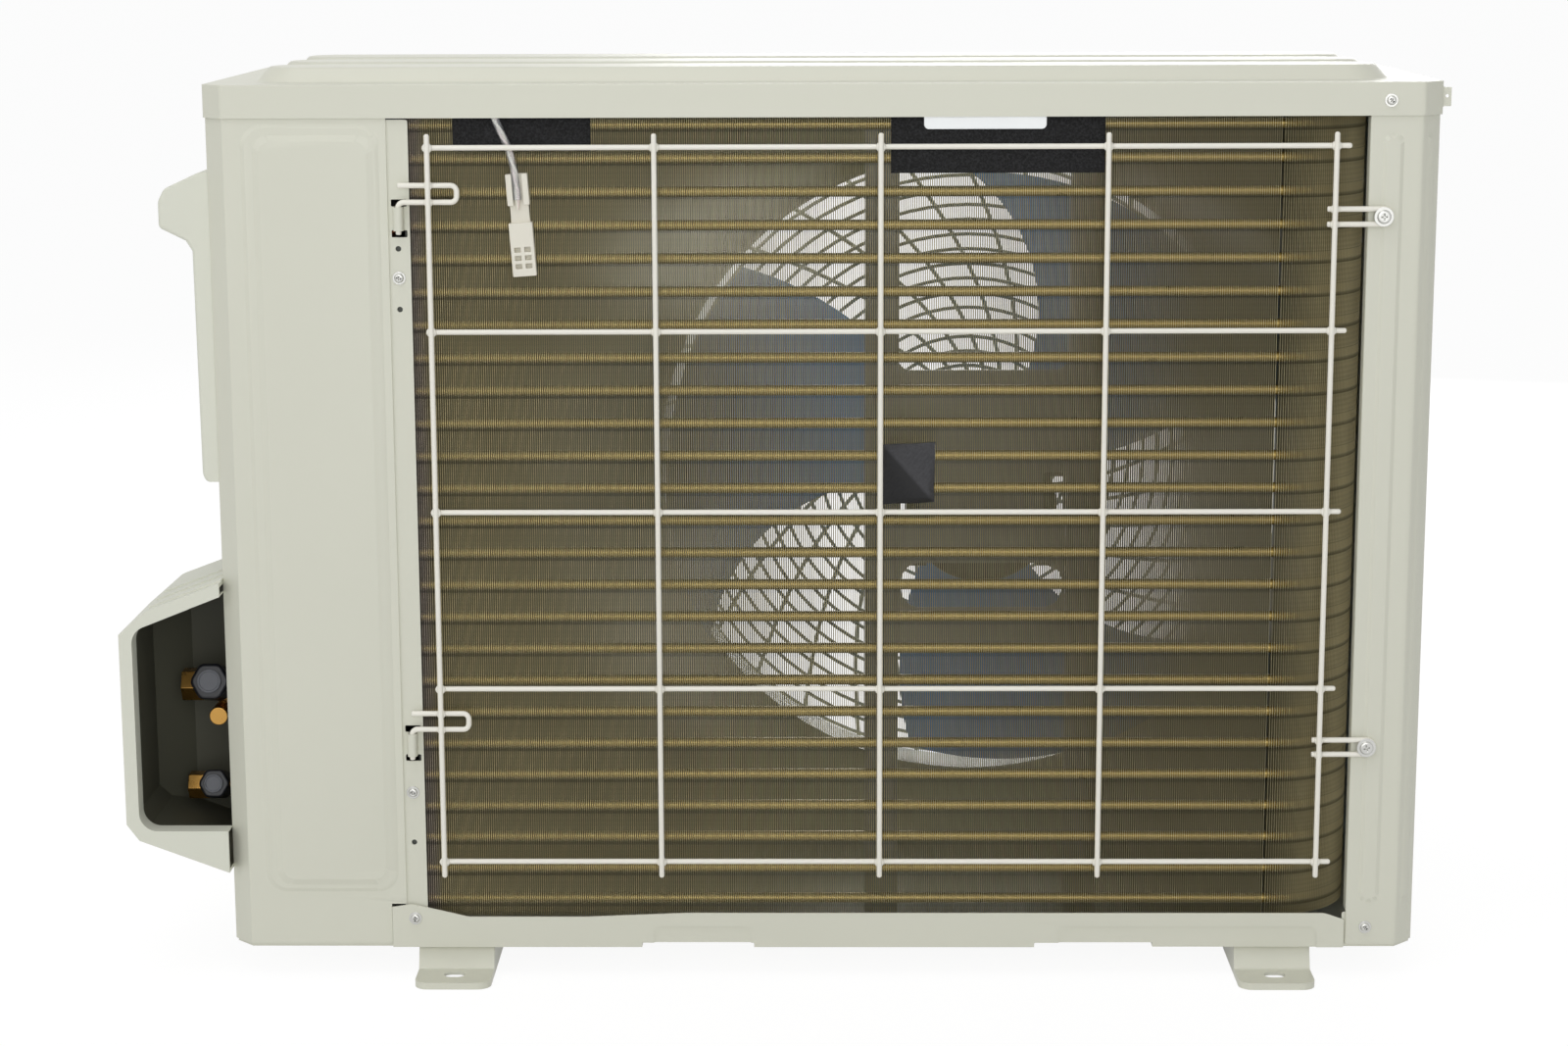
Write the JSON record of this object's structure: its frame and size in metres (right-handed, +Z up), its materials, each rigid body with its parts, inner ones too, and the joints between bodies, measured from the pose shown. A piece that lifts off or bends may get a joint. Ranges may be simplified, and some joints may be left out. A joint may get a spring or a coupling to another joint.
{
  "type": "air conditioner outdoor unit",
  "caption": "Outdoor condensing unit of a split air conditioner: sheet cabinet, L-shaped coil behind a hinged wire guard, axial fan, compressor, service valves and removable covers.",
  "frame": {"origin": "on the floor, in the middle of the four foot slots", "axes": "+X along the width towards the coil side, -Y towards the coil face, +Z up"},
  "size_m": [0.8545, 0.32, 0.5955],
  "materials": {
    "cabinet_paint": "satin warm ivory powder coat",
    "foot_paint": "satin warm ivory powder coat",
    "cover_plastic": "fine grain moulded",
    "guard_coating": "dipped coating on wire",
    "screw_zinc": "zinc plated",
    "fin_gold": "gold hydrophilic coating on thin fins",
    "galvanised_sheet": "galvanised",
    "motor_steel": "plain steel",
    "copper_pipe": "drawn copper",
    "brass_parts": "turned brass",
    "nut_black": "black coated",
    "compressor_black": "black paint on steel",
    "rubber_black": "soft rubber",
    "foam_black": "open cell foam",
    "fan_blue": "moulded blue plastic",
    "black_plastic": "moulded",
    "box_plastic": "moulded",
    "board_green": "lacquered board",
    "sensor_white": "white moulded",
    "lead_sleeve": "clear sleeve over a grey lead"
  },
  "bodies": {
    "cabinet": {"top_cover": "cabinet_paint", "valve_side_panel": "cabinet_paint", "coil_side_panel": "cabinet_paint", "front_panel": "cabinet_paint", "base_pan": "cabinet_paint", "foot_valve_side": "foot_paint", "foot_coil_side": "foot_paint", "fan_grille": "cover_plastic", "fan_grille_rings": "cover_plastic", "cabinet_screws": "screw_zinc", "compressor_studs": "screw_zinc", "coil_fins": "fin_gold", "partition": "galvanised_sheet", "coil_end_plate_near": "galvanised_sheet", "coil_end_plate_far": "galvanised_sheet", "motor_rail_left": "galvanised_sheet", "motor_rail_right": "galvanised_sheet", "motor_bracket_top": "galvanised_sheet", "valve_plate": "galvanised_sheet", "accumulator_strap": "galvanised_sheet", "fan_motor": "motor_steel", "coil_return_bends": "copper_pipe", "coil_hairpins": "copper_pipe", "discharge_pipe": "copper_pipe", "suction_pipe": "copper_pipe", "coil_gas_pipe": "copper_pipe", "gas_valve_pipe": "copper_pipe", "coil_liquid_pipe": "copper_pipe", "liquid_valve_pipe": "copper_pipe", "four_way_valve": "brass_parts", "expansion_valve": "brass_parts", "gas_valve": "brass_parts", "liquid_valve": "brass_parts", "compressor": "compressor_black", "accumulator": "compressor_black", "compressor_grommets": "rubber_black", "coil_foam_strips": "foam_black", "coil_foam_pad": "foam_black", "compressor_terminal_cap": "black_plastic", "four_way_coil": "black_plastic", "electrical_box": "box_plastic", "terminal_block": "box_plastic", "circuit_board": "board_green", "sensor_holder": "sensor_white", "sensor_lead": "lead_sleeve"},
    "fan_rotor": {"fan": "fan_blue", "motor_shaft": "motor_steel", "fan_nut": "screw_zinc"},
    "guard_door": {"guard_uprights": "guard_coating", "guard_cross_wires": "guard_coating", "guard_hinge_hooks": "guard_coating", "guard_screw_loops": "guard_coating", "guard_screws": "screw_zinc"},
    "terminal_lid": {"terminal_cover": "cover_plastic"},
    "valve_lid": {"valve_cover": "cover_plastic"},
    "gas_cap": {"gas_stem_cap": "brass_parts"},
    "liquid_cap": {"liquid_stem_cap": "brass_parts"},
    "gas_nut": {"gas_flare_nut": "nut_black"},
    "liquid_nut": {"liquid_flare_nut": "nut_black"},
    "port_cap": {"service_port_cap": "brass_parts"}
  },
  "joints": [
    {"name": "fan_spin", "type": "hinge", "parent": "cabinet", "child": "fan_rotor", "pos_m": [0.0783, 0.05, 0.304], "axis": [0, 1, 0], "continuous": true},
    {"name": "guard_swing", "type": "hinge", "parent": "cabinet", "child": "guard_door", "pos_m": [-0.295, -0.13475, 0.3], "axis": [0, 0, -1], "range_deg": [0, 110]},
    {"name": "terminal_cover_pull", "type": "slide", "parent": "cabinet", "child": "terminal_lid", "axis": [-1, 0, 0], "range_m": [0, 0.06]},
    {"name": "valve_cover_pull", "type": "slide", "parent": "cabinet", "child": "valve_lid", "axis": [-1, 0, 0], "range_m": [0, 0.09]},
    {"name": "gas_cap_unscrew", "type": "slide", "parent": "cabinet", "child": "gas_cap", "axis": [-1, 0, 0], "range_m": [0, 0.011]},
    {"name": "liquid_cap_unscrew", "type": "slide", "parent": "cabinet", "child": "liquid_cap", "axis": [-1, 0, 0], "range_m": [0, 0.011]},
    {"name": "gas_nut_unscrew", "type": "slide", "parent": "cabinet", "child": "gas_nut", "axis": [0, -0.9563, 0.2924], "range_m": [0, 0.016]},
    {"name": "liquid_nut_unscrew", "type": "slide", "parent": "cabinet", "child": "liquid_nut", "axis": [0, -0.9563, 0.2924], "range_m": [0, 0.016]},
    {"name": "port_cap_unscrew", "type": "slide", "parent": "cabinet", "child": "port_cap", "axis": [0, -1, 0], "range_m": [0, 0.012]}
  ]
}
